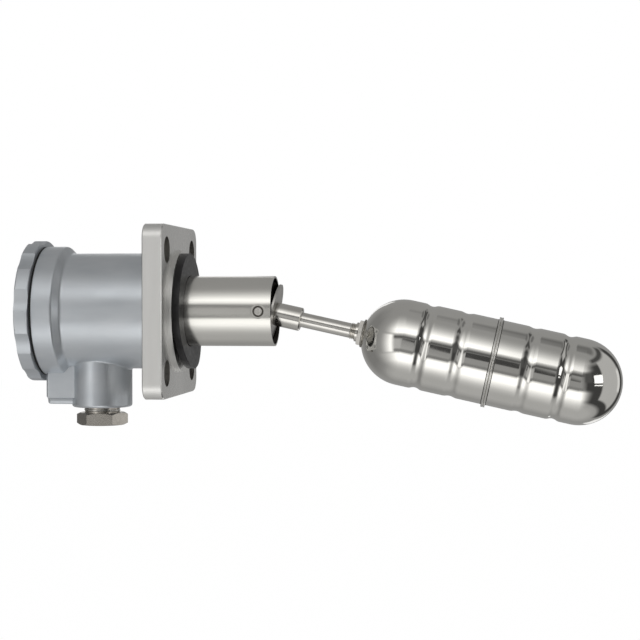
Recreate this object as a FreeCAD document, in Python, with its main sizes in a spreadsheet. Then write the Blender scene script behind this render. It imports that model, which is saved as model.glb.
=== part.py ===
import FreeCAD, Part
import math
import os
import re
import Sketcher
from FreeCAD import Placement, Rotation, Vector

# Side-mounted float level switch. A float on a swinging arm tilts a magnet inside a guide
# tube, and through the closed flange wall that magnet repels a second one on a rocker,
# which works a snap-action switch in the housing behind the flange.
# Frame: millimetres, origin at the centre of the bolt pattern on the flange's front face,
# +X out along the guide tube towards the float, +Z up. The arm rests at its lower stop.

SIZES = {
    # how far a cutting tool runs past what it cuts, and the spare length of a tapped hole
    "overcut": 1, "tap_spare": 0.5,
    # square mounting flange, its raised sealing face and the closed wall between the magnets
    "flange_side": 92, "flange_thick": 10.5, "flange_corner": 8, "flange_edge": 0.5,
    "bolt_spacing": 65, "bolt_hole_radius": 7, "raised_radius": 33, "raised_height": 2.3,
    "barrier_wall": 3, "well_radius": 15,
    # gasket and guide tube
    "gasket_radius": 31.4, "gasket_thick": 3.7, "gasket_play": 0.3,
    "tube_radius": 19, "tube_wall": 1.2, "tube_mouth": 52.7,
    # pivot of the float arm
    "pivot_at": 46.1, "pivot_radius": 1.9, "pin_play": 0.05, "pin_head_radius": 2.3,
    "pin_bevel": 0.15, "spot_radius": 4, "spot_depth": 0.45, "ring_radius": 3,
    "ring_depth": 0.3, "arm_tilt": 12.4,
    # float arm, lengths measured along it from the pivot
    "magnet_radius": 5, "magnet_length": 4.8, "cup_radius": 6.2, "cup_length": 7,
    "cup_cone": 2, "lever_reach": 42, "neck_radius": 3.2, "neck_end": 8, "collar_from": 5,
    "collar_radius": 5.85, "cross_radius": 3.8, "cross_length": 33.2, "disc_from": 6,
    "disc_thick": 1, "disc_radius": 16.2, "stud_radius": 3, "stud_end": 12,
    "sleeve_radius": 6.35, "sleeve_end": 21.4, "sleeve_bevel": 0.5, "sleeve_edge": 0.3,
    "rod_radius": 4, "rod_gap": 0.5, "rod_start": 12.7, "rod_end": 57.5,
    "washer_from": 51.6, "washer_thick": 1.4, "washer_radius": 5.2,
    "nut_from": 53, "nut_to": 55.85, "nut_flats": 13, "nut_bevel": 0.5,
    "seat_play": 0.05, "recess_play": 0.2,
    # float: two drawn half shells welded at a double lip
    "float_radius": 23.15, "float_wall": 0.8, "seam_at": 126.4, "near_half": 71.3,
    "far_half": 69.8, "float_hole": 6, "lip_radius": 24.4, "lip_thick": 1.1,
    "lip_bevel": 0.35, "groove_width": 8, "first_groove_at": 18.2, "first_groove_depth": 0.65,
    "second_groove_at": 37.3, "second_groove_depth": 0.95,
    # cast housing behind the flange
    "case_radius": 31.5, "taper_from": 58.6, "taper_to": 62.5, "root_round": 1.1,
    "rim_radius": 35.3, "rim_end": 73.1,
    "floor_thick": 5, "cavity_radius": 27.5, "thread_radius": 31, "thread_depth": 9.2,
    "rim_round": 0.8, "seal_groove_from": 28.6, "seal_groove_to": 30.4,
    "seal_groove_depth": 1.6, "entry_at": 43.4, "boss_radius": 16.4, "boss_drop": 52.5,
    "boss_round": 1.5, "boss_root": 1, "entry_thread": 9.6, "entry_depth": 17, "entry_bore": 7.5,
    "entry_bore_depth": 32.5,
    "lug_width": 20, "lug_from": 46, "lug_to": 72.4, "lug_drop": 50.9, "lug_round": 3.5,
    "lug_end_round": 1.8,
    # screwed cover and the seal under it
    "cover_radius": 38.4, "cover_from": 74.3, "cover_to": 81.8, "cover_face": 5.6,
    "spigot_radius": 30.8, "spigot_bore": 28.3, "spigot_length": 9, "cover_bevel": 0.3,
    "cover_round": 0.8, "scallop_radius": 20, "scallop_depth": 1.4, "scallop_turn": 9,
    "scallop_count": 10, "cover_seal_radius": 35.2, "cover_seal_bore": 31.1,
    # cable gland
    "gland_neck": 9.5, "gland_neck_drop": 3.1, "gland_flats": 24.3, "gland_hex_height": 6.75,
    "gland_turn": 7, "gland_reach": 8.5, "gland_bore": 6.5, "gland_seal_height": 5.2,
    "gland_seal_radius": 9.3, "gland_seal_bore": 4.5, "gland_washer_thick": 1,
    "gland_washer_play": 0.5, "gland_bevel": 1,
    # case screws, four, through the housing floor into the flange
    "case_screw_y": 21.5, "case_screw_z": 9, "case_screw_radius": 2, "case_screw_head": 3.5,
    "case_screw_length": 9.5, "case_screw_head_height": 4, "case_screw_socket": 1.7,
    "case_screw_play": 0.2,
    # bracket, a folded channel that carries the rocker and the switch
    "bracket_gap": 10.8, "bracket_sheet": 1.5, "bracket_span": 45, "bracket_screw_z": 18.5,
    "bracket_screw_radius": 1.5, "bracket_screw_head": 2.75, "bracket_screw_length": 5,
    "small_head_height": 2.5, "small_socket": 1.3, "floor_tap": 4, "window_height": 25,
    "cheek_end": 70, "cheek_low": 6, "cheek_top": 12, "cheek_step": 40, "cheek_high": 22.5,
    "cheek_slope": 10, "cheek_round": 3, "seat_lap": 1,
    # rocker on the dry side
    "rocker_at": 30.7, "rocker_pin_radius": 1.5, "rocker_pin_end": 0.6, "rocker_root": 2,
    "rocker_reach": 29, "rocker_neck": 2.6,
    "rocker_hub": 4.5, "rocker_hub_length": 10.2, "rocker_tail": 13.3, "rocker_nose": 2,
    "rocker_tail_width": 6, "rocker_tail_thick": 2.2,
    # snap-action switch, its leaf lever and its button
    "switch_from": 41, "switch_to": 68, "switch_low": 7, "switch_high": 22.9,
    "switch_width": 10.3, "leaf_hinge_at": 64, "leaf_hinge_height": 5.36, "leaf_thick": 0.4,
    "leaf_width": 4, "leaf_length": 22.5, "leaf_eye": 1, "leaf_pin_radius": 0.5,
    "ear_width": 2.6, "ear_reach": 1.4, "ear_gap": 1, "button_at": 60, "button_radius": 1.2,
    "button_low": 5.7, "button_length": 3, "button_bore_depth": 4.4,
    "blade_length": 5, "blade_width": 4.8, "blade_thick": 0.8, "blade_pitch": 4.6,
    "blade_low": 10.4, "switch_screw_first": 45.5, "switch_screw_second": 63.5,
    "switch_screw_height": 19.5, "switch_screw_radius": 1.45, "switch_screw_head": 2.75,
    "switch_screw_end": 3, "switch_nut_radius": 3.05, "switch_nut_height": 2.4,
    # earth screw on the housing floor
    "earth_height": 21.5, "earth_turn": 60, "earth_radius": 2, "earth_head": 3.6,
    "earth_head_height": 2.6, "earth_length": 3.5, "earth_socket": 1.6,
}

doc = FreeCAD.newDocument("FloatLevelSwitch")
sheet = doc.addObject("Spreadsheet::Sheet", "Dims")
for row, (alias, size) in enumerate(SIZES.items(), start=1):
    sheet.set(f"A{row}", alias)
    sheet.set(f"B{row}", str(size))
    sheet.setAlias(f"B{row}", alias)
doc.recompute()

NODES = []
CLOSE = 0.01


# ---- small helpers shared by the sub-parts -------------------------------------------------
def cell(text):
    """A formula in the sheet's words, as an expression that FreeCAD can bind."""
    return re.sub(r"[a-z_]+", lambda word: "Dims." + word.group() if word.group() in SIZES
                  else word.group(), str(text))


def number(text):
    return float(sheet.evalExpression(cell(text)))


def bind(thing, **formulas):
    """Bind properties, where a double underscore stands for a dot in the property's path."""
    for path, formula in formulas.items():
        thing.setExpression(path.replace("__", "."), cell(formula))
    return thing


def node(thing, label):
    thing.Label = label
    NODES.append(thing)
    return thing


def new_body(label):
    return node(doc.addObject("PartDesign::Body", label), label)


def origin_of(body, role):
    return next(item for item in body.Origin.OriginFeatures if item.Role == role)


def new_sketch(body, role, offset=None):
    sketch = body.newObject("Sketcher::SketchObject", body.Label + "_sketch")
    sketch.AttachmentSupport = [(origin_of(body, role), "")]
    sketch.MapMode = "FlatFace"
    if offset is not None:
        bind(sketch, AttachmentOffset__Base__z=offset)
    return sketch


def hold(sketch, index, end, across, up):
    """Fix one point of a sketch by two dimensions from the origin."""
    for kind, formula, axis in (("DistanceX", across, -2), ("DistanceY", up, -1)):
        if abs(number(formula)) < 1e-9:
            sketch.addConstraint(Sketcher.Constraint("PointOnObject", index, end, axis))
            continue
        order = sketch.addConstraint(
            Sketcher.Constraint(kind, -1, 1, index, end, number(formula)))
        sketch.setExpression(f"Constraints[{order}]", cell(formula))


def arc_between(start, end, radius, side):
    """A short arc from start to end, and which of its ends the start is.
    Side is 1 where it bulges away from the sketch's horizontal axis and -1 where towards it."""
    chord = end - start
    normal = Vector(-chord.y, chord.x, 0).normalize()
    if normal.y < 0:
        normal = -normal
    height = math.sqrt(max(radius ** 2 - (chord.Length / 2) ** 2, 0))
    centre = (start + end) * 0.5 - normal * side * height
    angles = [math.atan2(p.y - centre.y, p.x - centre.x) for p in (start, end)]
    forward = (angles[1] - angles[0]) % (2 * math.pi) < math.pi + 1e-6
    first, last = angles if forward else angles[::-1]
    circle = Part.Circle(centre, Vector(0, 0, 1), radius)
    return Part.ArcOfCircle(circle, first, last), 1 if forward else 2


def outline(sketch, corners):
    """A closed outline. A corner is (across, up), or (across, up, radius, side) where an arc
    leads on from it to the next corner."""
    points = [Vector(number(c[0]), number(c[1]), 0) for c in corners]
    first_ends = []
    for index, corner in enumerate(corners):
        start = points[index]
        end = points[(index + 1) % len(points)]
        if len(corner) == 2:
            sketch.addGeometry(Part.LineSegment(start, end))
            first_ends.append(1)
        else:
            curve, first = arc_between(start, end, number(corner[2]), corner[3])
            sketch.addGeometry(curve)
            first_ends.append(first)
    for index, corner in enumerate(corners):
        follower = (index + 1) % len(corners)
        sketch.addConstraint(Sketcher.Constraint(
            "Coincident", index, 3 - first_ends[index], follower, first_ends[follower]))
        hold(sketch, index, first_ends[index], corner[0], corner[1])
        if len(corner) == 4:
            order = sketch.addConstraint(Sketcher.Constraint("Radius", index, number(corner[2])))
            sketch.setExpression(f"Constraints[{order}]", cell(corner[2]))


def circles(sketch, places):
    """Circles, each (across, up, radius)."""
    for across, up, radius in places:
        centre = Vector(number(across), number(up), 0)
        index = sketch.addGeometry(Part.Circle(centre, Vector(0, 0, 1), number(radius)))
        hold(sketch, index, 3, across, up)
        order = sketch.addConstraint(Sketcher.Constraint("Radius", index, number(radius)))
        sketch.setExpression(f"Constraints[{order}]", cell(radius))


def box_corners(left, right, low, high):
    return [(left, low), (right, low), (right, high), (left, high)]


def hexagon(flats, turn="0"):
    reach = f"{flats} / sqrt(3)"
    return [(f"{reach} * cos({turn} + {60 * k})", f"{reach} * sin({turn} + {60 * k})")
            for k in range(6)]


def feature(body, kind, sketch=None, **formulas):
    made = body.newObject("PartDesign::" + kind, body.Label + "_" + kind.lower())
    if sketch is not None:
        made.Profile = sketch
        sketch.Visibility = False
    return bind(made, **formulas)


def turn_about(body, sketch, axis, cut=False):
    """Revolve a sketch about its own horizontal or vertical axis, adding or cutting."""
    before = body.Shape.Volume if cut else 0
    made = feature(body, "Groove" if cut else "Revolution", sketch)
    made.ReferenceAxis = (sketch, [axis])
    made.Angle = 360
    doc.recompute()
    if cut and body.Shape.Volume > before - CLOSE:
        raise RuntimeError(body.Label + ": a groove cut nothing")
    return made


def pad(body, sketch, length, back=False, both=False):
    made = feature(body, "Pad", sketch, Length=length)
    made.Reversed = back
    made.Midplane = both
    doc.recompute()
    return made


def pocket(body, sketch, length, back=False, both=False):
    """Cut a sketch against its normal, or along it where back is set."""
    before = body.Shape.Volume
    made = feature(body, "Pocket", sketch, Length=length)
    made.Reversed = back
    made.Midplane = both
    doc.recompute()
    if body.Shape.Volume > before - CLOSE:
        raise RuntimeError(body.Label + ": a pocket cut nothing")
    return made


def ease(body, kind, size, wanted):
    """Fillet or chamfer the edges of the body's tip for which wanted(edge) is true."""
    doc.recompute()
    tip = body.Tip
    names = [f"Edge{n}" for n, edge in enumerate(tip.Shape.Edges, start=1) if wanted(edge)]
    if not names:
        raise RuntimeError(body.Label + ": no edge to ease")
    made = body.newObject("PartDesign::" + kind, body.Label + "_" + kind.lower())
    made.Base = (tip, names)
    bind(made, **{"Radius" if kind == "Fillet" else "Size": size})
    doc.recompute()
    return made


def around(body, features, count, role="X_Axis"):
    pattern = body.newObject("PartDesign::PolarPattern", body.Label + "_pattern")
    pattern.Originals = features
    pattern.Axis = (origin_of(body, role), [""])
    pattern.Angle = 360
    bind(pattern, Occurrences=count)
    body.Tip = pattern
    doc.recompute()
    return pattern


def circle_at(edge, x=None, z=None, radius=None):
    """True for a round edge that lies in the given plane and has the given radius."""
    if not isinstance(edge.Curve, Part.Circle):
        return False
    spread = edge.BoundBox
    if x is not None and max(abs(spread.XMin - x), abs(spread.XMax - x)) > CLOSE:
        return False
    if z is not None and max(abs(spread.ZMin - z), abs(spread.ZMax - z)) > CLOSE:
        return False
    return radius is None or abs(edge.Curve.Radius - radius) < CLOSE


def turned(label, corners, role="XZ_Plane", axis="H_Axis"):
    """A turned piece: one outline revolved about the sketch's axis."""
    body = new_body(label)
    sketch = new_sketch(body, role)
    outline(sketch, corners)
    turn_about(body, sketch, axis)
    return body


def on_arm(thing):
    """Seat a piece of the float arm: its own origin at the pivot, tilted to the lower stop."""
    thing.Placement = Placement(Vector(), Rotation(Vector(0, 1, 0), 1))
    return bind(thing, Placement__Base__x="pivot_at", Placement__Rotation__Angle="arm_tilt")


def on_rocker(thing):
    """Seat a piece of the rocker, which rests tilted the same way as the float arm."""
    thing.Placement = Placement(Vector(), Rotation(Vector(0, 1, 0), 1))
    return bind(thing, Placement__Base__x="-rocker_at", Placement__Rotation__Angle="arm_tilt")


def solid(kind, name, **formulas):
    return bind(doc.addObject("Part::" + kind, name), **formulas)


def cap_screw(name, head_radius, head_height, radius, length, socket):
    """A socket cap screw along Z: its head stands above the origin, its shank hangs below."""
    head = solid("Cylinder", name + "_head", Radius=head_radius, Height=head_height)
    shank = solid("Cylinder", name + "_shank", Radius=radius, Height=length,
                  Placement__Base__z=f"-({length})")
    blank = doc.addObject("Part::MultiFuse", name + "_blank")
    blank.Shapes = [head, shank]
    key = solid("Prism", name + "_key", Circumradius=socket, Height=head_height,
                Placement__Base__z=f"{head_height} / 2")
    key.Polygon = 6
    screw = doc.addObject("Part::Cut", name)
    screw.Base = blank
    screw.Tool = key
    return screw


def place(thing, x="0", y="0", z="0", axis=(0, 0, 1), angle=0):
    thing.Placement = Placement(Vector(), Rotation(Vector(*axis), angle))
    return bind(thing, Placement__Base__x=x, Placement__Base__y=y, Placement__Base__z=z)


def group(label, pieces):
    made = doc.addObject("Part::Compound", label)
    made.Links = pieces
    return node(made, label)


# ---- wet side: flange, gasket, guide tube and pivot ----------------------------------------
def make_flange():
    """Square plate with a raised sealing face. A blind well in its back leaves a thin wall
    between the two magnets, so nothing passes from the wet side to the dry side."""
    body = new_body("flange")
    plate = new_sketch(body, "YZ_Plane")
    half = "flange_side / 2"
    outline(plate, box_corners("-" + half, half, "-" + half, half))
    pad(body, plate, "flange_thick", back=True)
    ease(body, "Fillet", "flange_corner", lambda e: e.BoundBox.XLength > CLOSE)
    ease(body, "Chamfer", "flange_edge", lambda e: e.BoundBox.XLength < CLOSE)
    face = new_sketch(body, "YZ_Plane")
    circles(face, [("0", "0", "raised_radius")])
    pad(body, face, "raised_height")
    hole = new_sketch(body, "YZ_Plane")
    circles(hole, [("bolt_spacing / 2", "bolt_spacing / 2", "bolt_hole_radius")])
    around(body, [pocket(body, hole, "flange_thick + overcut")], "4")
    taps = new_sketch(body, "YZ_Plane", "-flange_thick")
    circles(taps, [(f"{side}case_screw_y", f"{level}case_screw_z",
                    "case_screw_radius + seat_play") for side in "+-" for level in "+-"])
    pocket(body, taps, "case_screw_length - floor_thick + tap_spare", back=True)
    well = new_sketch(body, "YZ_Plane", "-flange_thick")
    circles(well, [("0", "0", "well_radius")])
    pocket(body, well, "flange_thick + raised_height - barrier_wall", back=True)


def make_gasket():
    turned("flange_gasket", box_corners("raised_height", "raised_height + gasket_thick",
                                        "tube_radius + gasket_play", "gasket_radius"))


def make_guide_tube():
    """Tube welded to the raised face. Each side has a round flat with a recessed ring, where
    the pivot pin is set in and secured."""
    body = turned("guide_tube", box_corners("raised_height", "tube_mouth",
                                            "tube_radius - tube_wall", "tube_radius"))
    for side in (1, -1):
        for radius, depth in (("spot_radius", "spot_depth"),
                              ("ring_radius", "spot_depth + ring_depth")):
            flat = new_sketch(body, "XZ_Plane", f"{side} * (tube_radius - ({depth}))")
            circles(flat, [("pivot_at", "0", radius)])
            pocket(body, flat, "tube_wall", back=side > 0)
    bore = new_sketch(body, "XZ_Plane")
    circles(bore, [("pivot_at", "0", "pivot_radius")])
    pocket(body, bore, "tube_radius * 3", both=True)


def make_pivot_pin():
    """Pin through the tube and the arm's cross tube, its ends spread over the tube's wall."""
    half = "(tube_radius - spot_depth)"
    under = f"({half} - ring_depth)"
    half_side = [("pivot_radius", under), ("pin_head_radius", under),
                 ("pin_head_radius", f"{half} - pin_bevel"),
                 ("pin_head_radius - pin_bevel", half), ("0", half)]
    other_side = [(across, f"-({up})") for across, up in reversed(half_side)]
    body = turned("pivot_pin", other_side + half_side, "XY_Plane", "V_Axis")
    place(body, "pivot_at")


# ---- float arm -----------------------------------------------------------------------------
def make_float_lever():
    """Inner end of the arm: magnet cup, turned neck, head, and a cross tube on the pivot pin.
    Its stud takes the shield disc and the sleeve."""
    cup_end = "cup_length - lever_reach"
    body = turned("float_lever", [
        ("-lever_reach", "0"), ("-lever_reach", "cup_radius"), (cup_end, "cup_radius"),
        (f"{cup_end} + cup_cone", "neck_radius"), ("-neck_end", "neck_radius"),
        ("-collar_from", "collar_radius"), ("disc_from", "collar_radius"),
        ("disc_from", "stud_radius"),
        ("stud_end", "stud_radius"), ("stud_end", "0")])
    cross = new_sketch(body, "XZ_Plane")
    circles(cross, [("0", "0", "cross_radius")])
    pad(body, cross, "cross_length", both=True)
    bore = new_sketch(body, "XZ_Plane")
    circles(bore, [("0", "0", "pivot_radius + pin_play")])
    pocket(body, bore, "cross_length + overcut", both=True)
    recess = new_sketch(body, "YZ_Plane", "-lever_reach")
    circles(recess, [("0", "0", "magnet_radius + seat_play")])
    pocket(body, recess, "magnet_length + recess_play", back=True)
    on_arm(body)


def make_magnet(label, face, seat):
    """A round magnet whose outer face is at the given distance, set in its cup."""
    body = turned(label, box_corners(face, f"{face} + magnet_length", "0", "magnet_radius"))
    seat(body)


def make_shield_disc():
    on_arm(turned("shield_disc", box_corners("disc_from", "disc_from + disc_thick",
                                             "stud_radius + seat_play", "disc_radius")))


def make_arm_sleeve():
    """Turned sleeve: screwed on the stud it clamps the disc, and it holds the rod."""
    begin = "disc_from + disc_thick"
    shoulder = "stud_end + rod_gap"
    on_arm(turned("arm_sleeve", [
        (begin, "stud_radius + seat_play"), (shoulder, "stud_radius + seat_play"),
        (shoulder, "rod_radius + seat_play"), ("sleeve_end", "rod_radius + seat_play"),
        ("sleeve_end", "sleeve_radius - sleeve_bevel"),
        ("sleeve_end - sleeve_bevel", "sleeve_radius"),
        (f"{begin} + sleeve_edge", "sleeve_radius"), (begin, "sleeve_radius - sleeve_edge")]))


def make_arm_rod():
    on_arm(turned("arm_rod", box_corners("rod_start", "rod_end", "0", "rod_radius")))


def make_float_washer():
    on_arm(turned("float_washer", box_corners("washer_from", "washer_from + washer_thick",
                                              "rod_radius + seat_play", "washer_radius")))


def bevel_corners(body, role, axis, reach, low, high, rise):
    """Turn off the corners of a hexagon at both ends, as on any nut."""
    for end, inward in ((low, 1), (high, -1)):
        cutter = new_sketch(body, role)
        along = [(f"{reach} - 2 * ({rise})", end), (f"{reach} + 2 * ({rise})", end),
                 (f"{reach} + 2 * ({rise})", f"{end} + {inward} * 2 * ({rise})")]
        corners = [(up, across) for across, up in along] if axis == "H_Axis" else along
        outline(cutter, corners)
        turn_about(body, cutter, axis, cut=True)


def make_float_nut():
    """Weld nut on the crown of the float, locked on the rod."""
    body = new_body("float_nut")
    hexa = new_sketch(body, "YZ_Plane", "nut_from")
    outline(hexa, hexagon("nut_flats"))
    pad(body, hexa, "nut_to - nut_from")
    bore = new_sketch(body, "YZ_Plane", "nut_from")
    circles(bore, [("0", "0", "rod_radius + seat_play")])
    pocket(body, bore, "nut_to - nut_from + overcut", back=True)
    bevel_corners(body, "XZ_Plane", "H_Axis", "nut_flats / sqrt(3)", "nut_from", "nut_to",
                  "nut_bevel")
    on_arm(body)


def rolled_groove(middle, depth, level, sign):
    """Corners of a stiffening groove rolled into a shell: three tangent arcs."""
    quarter = "groove_width / 4"
    bend = f"(({quarter})^2 + (({depth}) / 2)^2) / ({depth})"
    return [(f"{middle} - {sign} * 2 * {quarter}", level, bend, 1),
            (f"{middle} - {sign} * {quarter}", f"{level} - ({depth}) / 2", bend, -1),
            (f"{middle} + {sign} * {quarter}", f"{level} - ({depth}) / 2", bend, 1),
            (f"{middle} + {sign} * 2 * {quarter}", level)]


def shell_side(sign, inset):
    """Corners along one side of a half shell, from the seam to the start of its round end."""
    level = f"float_radius - {inset}"
    return (rolled_groove(f"seam_at + {sign} * first_groove_at", "first_groove_depth",
                          level, sign)
            + rolled_groove(f"seam_at + {sign} * second_groove_at", "second_groove_depth",
                            level, sign))


def backwards(corners):
    """The same run of corners walked the other way, so each arc leads on from its other end."""
    arcs = [()] + [corner[2:] for corner in corners[:-1]]
    return [corner[:2] + arc for corner, arc in reversed(list(zip(corners, arcs)))]


def make_float_half(label, sign, half, hole):
    """A drawn half shell of the float: round end, two rolled grooves and a welding lip. The
    near half has a hole in its crown for the weld nut."""
    centre = f"seam_at + {sign} * ({half} - float_radius)"
    lip = [("seam_at", "lip_radius - lip_bevel"),
           (f"seam_at + {sign} * lip_bevel", "lip_radius"),
           (f"seam_at + {sign} * lip_thick", "lip_radius"),
           (f"seam_at + {sign} * lip_thick", "float_radius")]
    sides = []
    for inset in ("0", "float_wall"):
        reach = f"(float_radius - {inset})"
        crown = (f"{centre} + {sign} * sqrt({reach}^2 - ({hole})^2)", hole)
        sides.append(shell_side(sign, inset) + [(centre, reach, reach, 1), crown])
    outer, inner = sides
    seam = [("seam_at", "float_radius - float_wall")]
    on_arm(turned(label, lip + outer + backwards(inner) + seam))


# ---- housing and cover ---------------------------------------------------------------------
def make_housing():
    """Cast round case with a flared rim, a boss for the cable gland and a lug under the rim.
    Its floor is screwed to the back of the flange."""
    body = new_body("housing")
    skin = new_sketch(body, "XZ_Plane")
    run = "(taper_to - taper_from)"
    rise = "(rim_radius - case_radius)"
    slant = f"sqrt({run}^2 + {rise}^2)"
    outline(skin, [("-flange_thick", "0"), ("-flange_thick", "case_radius"),
                   ("root_round - taper_from", "case_radius",
                    f"root_round / tan(atan({rise} / {run}) / 2)", -1),
                   (f"-taper_from - root_round * {run} / {slant}",
                    f"case_radius + root_round * {rise} / {slant}"),
                   (f"-taper_to + rim_round * {run} / {slant}",
                    f"rim_radius - rim_round * {rise} / {slant}",
                    f"rim_round / tan(atan({rise} / {run}) / 2)", 1),
                   ("-taper_to - rim_round", "rim_radius"),
                   ("-rim_end", "rim_radius"), ("-rim_end", "0")])
    turn_about(body, skin, "H_Axis")
    boss = new_sketch(body, "XY_Plane")
    circles(boss, [("-entry_at", "0", "boss_radius")])
    pad(body, boss, "boss_drop", back=True)
    # the edges where the boss meets the round case are the only ones that are no line or circle
    ease(body, "Fillet", "boss_root", lambda e: isinstance(e.Curve, Part.BSplineCurve))
    lug = new_sketch(body, "YZ_Plane", "-lug_to")
    outline(lug, [("-lug_width / 2", "0"),
                  ("-lug_width / 2", "lug_round - lug_drop", "lug_round", 1),
                  ("lug_round - lug_width / 2", "-lug_drop"),
                  ("lug_width / 2 - lug_round", "-lug_drop", "lug_round", 1),
                  ("lug_width / 2", "lug_round - lug_drop"), ("lug_width / 2", "0")])
    pad(body, lug, "lug_to - lug_from")
    ease(body, "Fillet", "lug_end_round",
         lambda e: e.BoundBox.XMax < -number("lug_to") + CLOSE
         and not circle_at(e, radius=number("rim_radius")))
    ease(body, "Fillet", "boss_round", lambda e: circle_at(e, z=-number("boss_drop")))
    cavity = new_sketch(body, "XZ_Plane")
    outline(cavity, [("-flange_thick - floor_thick", "0"),
                     ("-flange_thick - floor_thick", "cavity_radius"),
                     ("thread_depth - rim_end", "cavity_radius"),
                     ("thread_depth - rim_end", "thread_radius"),
                     ("-rim_end", "thread_radius"), ("-rim_end", "0")])
    turn_about(body, cavity, "H_Axis", cut=True)
    well = new_sketch(body, "YZ_Plane", "-flange_thick")
    circles(well, [("0", "0", "well_radius")])
    pocket(body, well, "floor_thick + overcut")
    seat = new_sketch(body, "XZ_Plane")
    outline(seat, box_corners("-flange_thick - seal_groove_depth", "-flange_thick",
                              "seal_groove_from", "seal_groove_to"))
    turn_about(body, seat, "H_Axis", cut=True)
    for radius, depth in (("entry_thread", "entry_depth"), ("entry_bore", "entry_bore_depth")):
        entry = new_sketch(body, "XY_Plane", "-boss_drop")
        circles(entry, [("-entry_at", "0", radius)])
        pocket(body, entry, depth, back=True)
    holes = new_sketch(body, "YZ_Plane", "-flange_thick")
    circles(holes, [(f"{side}case_screw_y", f"{level}case_screw_z",
                     "case_screw_radius + case_screw_play") for side in "+-" for level in "+-"])
    pocket(body, holes, "floor_thick + overcut")
    taps = new_sketch(body, "YZ_Plane", "-flange_thick - floor_thick")
    circles(taps, [("0", f"{level}bracket_screw_z", "bracket_screw_radius + seat_play")
                   for level in "+-"]
            + [("earth_height * cos(earth_turn)", "-earth_height * sin(earth_turn)",
                "earth_radius + seat_play")])
    pocket(body, taps, "floor_tap", back=True)


def make_base_seal():
    turned("base_seal", box_corners("-flange_thick - seal_groove_depth + seat_play",
                                    "-flange_thick", "seal_groove_from + seat_play",
                                    "seal_groove_to - seat_play"))


def make_cover():
    """Screwed cover: a disc with finger recesses round its edge and a threaded spigot."""
    body = turned("cover", [
        ("-cover_to", "0"), ("-cover_to", "cover_radius"), ("-cover_from", "cover_radius"),
        ("-cover_from", "spigot_radius"), ("spigot_length - cover_from", "spigot_radius"),
        ("spigot_length - cover_from", "spigot_bore"),
        ("cover_face - cover_to", "spigot_bore"), ("cover_face - cover_to", "0")])
    rim = number("cover_radius")
    ease(body, "Chamfer", "cover_bevel",
         lambda e: circle_at(e, -number("cover_from"), radius=rim))
    ease(body, "Fillet", "cover_round", lambda e: circle_at(e, -number("cover_to"), radius=rim))
    reach = "(cover_radius - scallop_depth + scallop_radius)"
    recess = new_sketch(body, "YZ_Plane", "-cover_to - overcut")
    circles(recess, [(f"-{reach} * cos(scallop_turn)", f"{reach} * sin(scallop_turn)",
                      "scallop_radius")])
    around(body, [pocket(body, recess, "cover_to - cover_from + 2 * overcut", back=True)],
           "scallop_count")


def make_cover_seal():
    turned("cover_seal", box_corners("-cover_from", "-rim_end", "cover_seal_bore",
                                     "cover_seal_radius"))


# ---- cable gland ---------------------------------------------------------------------------
def make_gland():
    """Pressure screw with a hexagon head. Screwed in, it squeezes a rubber ring between two
    washers round the cable."""
    body = new_body("gland_screw")
    neck = new_sketch(body, "XY_Plane", "gland_reach")
    circles(neck, [("0", "0", "gland_neck")])
    pad(body, neck, "gland_reach + gland_neck_drop + gland_hex_height / 2", back=True)
    head = new_sketch(body, "XY_Plane", "-gland_neck_drop")
    outline(head, hexagon("gland_flats", "gland_turn"))
    pad(body, head, "gland_hex_height", back=True)
    bore = new_sketch(body, "XY_Plane", "gland_reach")
    circles(bore, [("0", "0", "gland_bore")])
    pocket(body, bore, "gland_reach + gland_neck_drop + gland_hex_height + overcut")
    bevel_corners(body, "XZ_Plane", "V_Axis", "gland_flats / sqrt(3)",
                  "-gland_neck_drop - gland_hex_height", "-gland_neck_drop",
                  "gland_bevel")
    place(body, "-entry_at", z="-boss_drop")
    levels = ["gland_reach", "gland_reach + gland_washer_thick + gland_seal_height"]
    washers = []
    for order, level in enumerate(levels):
        disc = solid("Cylinder", f"gland_disc_{order}", Radius="gland_seal_radius",
                     Height="gland_washer_thick")
        eye = solid("Cylinder", f"gland_eye_{order}", Radius="gland_bore + gland_washer_play",
                    Height="gland_washer_thick")
        washer = doc.addObject("Part::Cut", f"gland_washer_{order}")
        washer.Base = disc
        washer.Tool = eye
        washers.append(place(washer, "-entry_at", z=f"-boss_drop + {level}"))
    group("gland_washers", washers)
    ring = turned("gland_seal", box_corners("gland_seal_bore", "gland_seal_radius", "0",
                                            "gland_seal_height"), axis="V_Axis")
    place(ring, "-entry_at", z="-boss_drop + gland_reach + gland_washer_thick")


# ---- fasteners inside the housing ----------------------------------------------------------
FACING_BACK = {"axis": (0, 1, 0), "angle": -90}


def make_case_screws():
    screws = []
    for side in (1, -1):
        for level in (1, -1):
            screw = cap_screw(f"case_screw_{len(screws)}", "case_screw_head",
                              "case_screw_head_height", "case_screw_radius",
                              "case_screw_length", "case_screw_socket")
            screws.append(place(screw, "-flange_thick - floor_thick", f"{side} * case_screw_y",
                                f"{level} * case_screw_z", **FACING_BACK))
    group("case_screws", screws)


def make_bracket_screws():
    screws = []
    for level in (1, -1):
        screw = cap_screw(f"bracket_screw_{len(screws)}", "bracket_screw_head",
                          "small_head_height", "bracket_screw_radius",
                          "bracket_screw_length", "small_socket")
        screws.append(place(screw, "-flange_thick - floor_thick - bracket_sheet", "0",
                            f"{level} * bracket_screw_z", **FACING_BACK))
    group("bracket_screws", screws)


def make_earth_screw():
    screw = cap_screw("earth_screw", "earth_head", "earth_head_height", "earth_radius",
                      "earth_length", "earth_socket")
    node(screw, "earth_screw")
    place(screw, "-flange_thick - floor_thick", "earth_height * cos(earth_turn)",
          "-earth_height * sin(earth_turn)", **FACING_BACK)


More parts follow.
